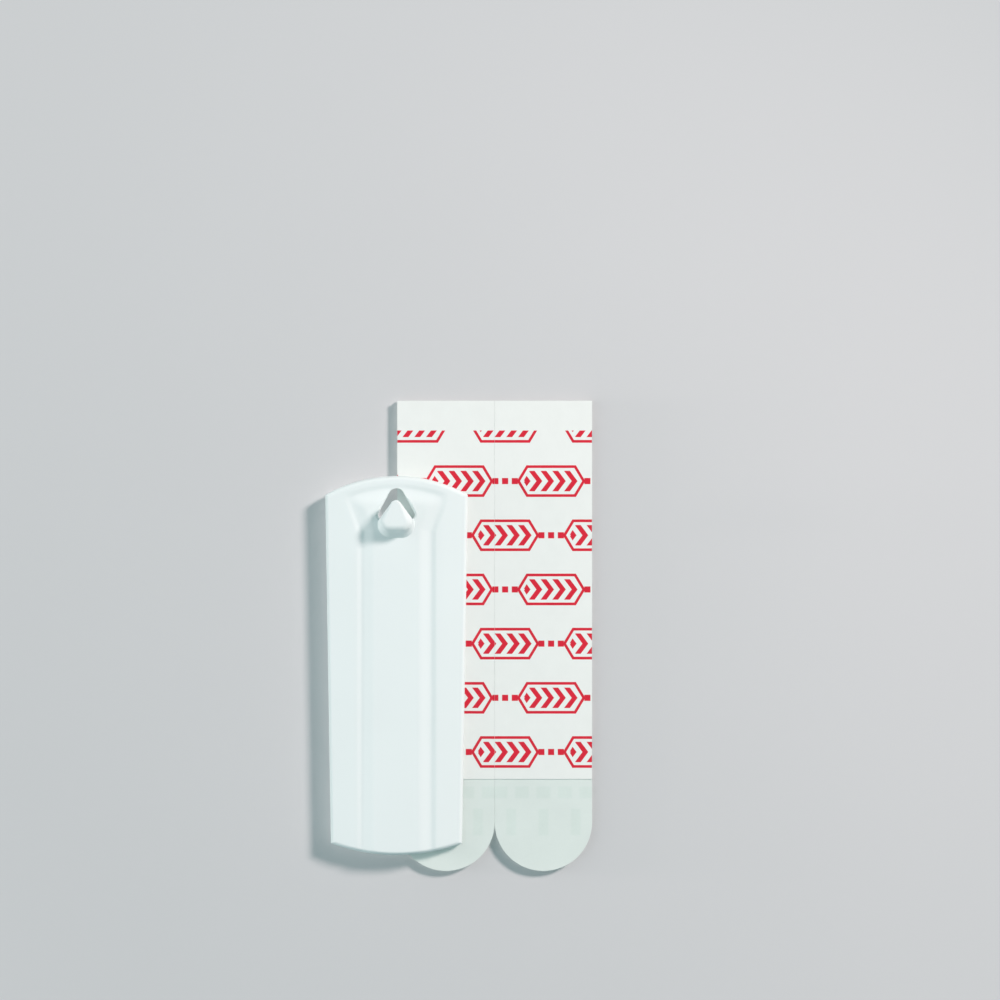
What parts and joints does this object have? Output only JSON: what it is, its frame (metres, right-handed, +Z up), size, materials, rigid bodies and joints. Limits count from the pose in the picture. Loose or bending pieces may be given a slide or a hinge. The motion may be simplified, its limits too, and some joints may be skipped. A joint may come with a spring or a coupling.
{
  "type": "adhesive picture hook",
  "caption": "Moulded sawtooth picture hanger with an arch hole and hook nub, and joined stretch-release adhesive strips with printed liners and round pull tabs.",
  "frame": {"origin": "centre of the left strip's bonded part, on the wall plane", "axes": "+Z up the wall, +Y into the wall, +X to the right seen from the front"},
  "size_m": [0.0521, 0.0088, 0.092],
  "materials": {
    "hanger_plastic": "moulded white plastic, soft gloss",
    "strip_foam": "white closed-cell foam, cut edges",
    "tab_foam": "pale closed-cell foam",
    "adhesive": "tacky clear-white adhesive",
    "tab_film": "milky clear film",
    "front_liner": "glazed white release liner with a red print",
    "back_liner": "glazed white release liner with a grey print"
  },
  "bodies": {
    "strip_left": {"left_foam_core": "strip_foam", "left_front_adhesive": "adhesive", "left_back_adhesive": "adhesive", "tear_bridges": "strip_foam"},
    "hanger": {"hanger": "hanger_plastic"},
    "front_liner_left": {"left_front_liner": "front_liner"},
    "back_liner_left": {"left_back_liner": "back_liner"},
    "tab_left": {"left_tab_core": "tab_foam", "left_tab_front_film": "tab_film", "left_tab_back_film": "tab_film"},
    "strip_right": {"right_foam_core": "strip_foam", "right_front_adhesive": "adhesive", "right_back_adhesive": "adhesive"},
    "front_liner_right": {"right_front_liner": "front_liner"},
    "back_liner_right": {"right_back_liner": "back_liner"},
    "tab_right": {"right_tab_core": "tab_foam", "right_tab_front_film": "tab_film", "right_tab_back_film": "tab_film"}
  },
  "joints": [
    {"name": "hanger_to_seat", "type": "slide", "parent": "strip_left", "child": "hanger", "axis": [0.5468, 0, 0.8373], "range_m": [0, 0.01756]},
    {"name": "left_front_liner_peel", "type": "slide", "parent": "strip_left", "child": "front_liner_left", "axis": [0, 0, 1], "range_m": [0, 0.076]},
    {"name": "left_back_liner_peel", "type": "slide", "parent": "strip_left", "child": "back_liner_left", "axis": [0, 0, 1], "range_m": [0, 0.076]},
    {"name": "left_tab_pull", "type": "slide", "parent": "strip_left", "child": "tab_left", "axis": [0, 0, -1], "range_m": [0, 0.38], "stiffness_N_per_m": 50, "deforming": ["left_foam_core", "left_front_adhesive", "left_back_adhesive"]},
    {"name": "strip_tear", "type": "slide", "parent": "strip_left", "child": "strip_right", "axis": [1, 0, 0], "range_m": [0, 0.025]},
    {"name": "right_front_liner_peel", "type": "slide", "parent": "strip_right", "child": "front_liner_right", "axis": [0, 0, 1], "range_m": [0, 0.076]},
    {"name": "right_back_liner_peel", "type": "slide", "parent": "strip_right", "child": "back_liner_right", "axis": [0, 0, 1], "range_m": [0, 0.076]},
    {"name": "right_tab_pull", "type": "slide", "parent": "strip_right", "child": "tab_right", "axis": [0, 0, -1], "range_m": [0, 0.38], "stiffness_N_per_m": 50, "deforming": ["right_foam_core", "right_front_adhesive", "right_back_adhesive"]}
  ]
}
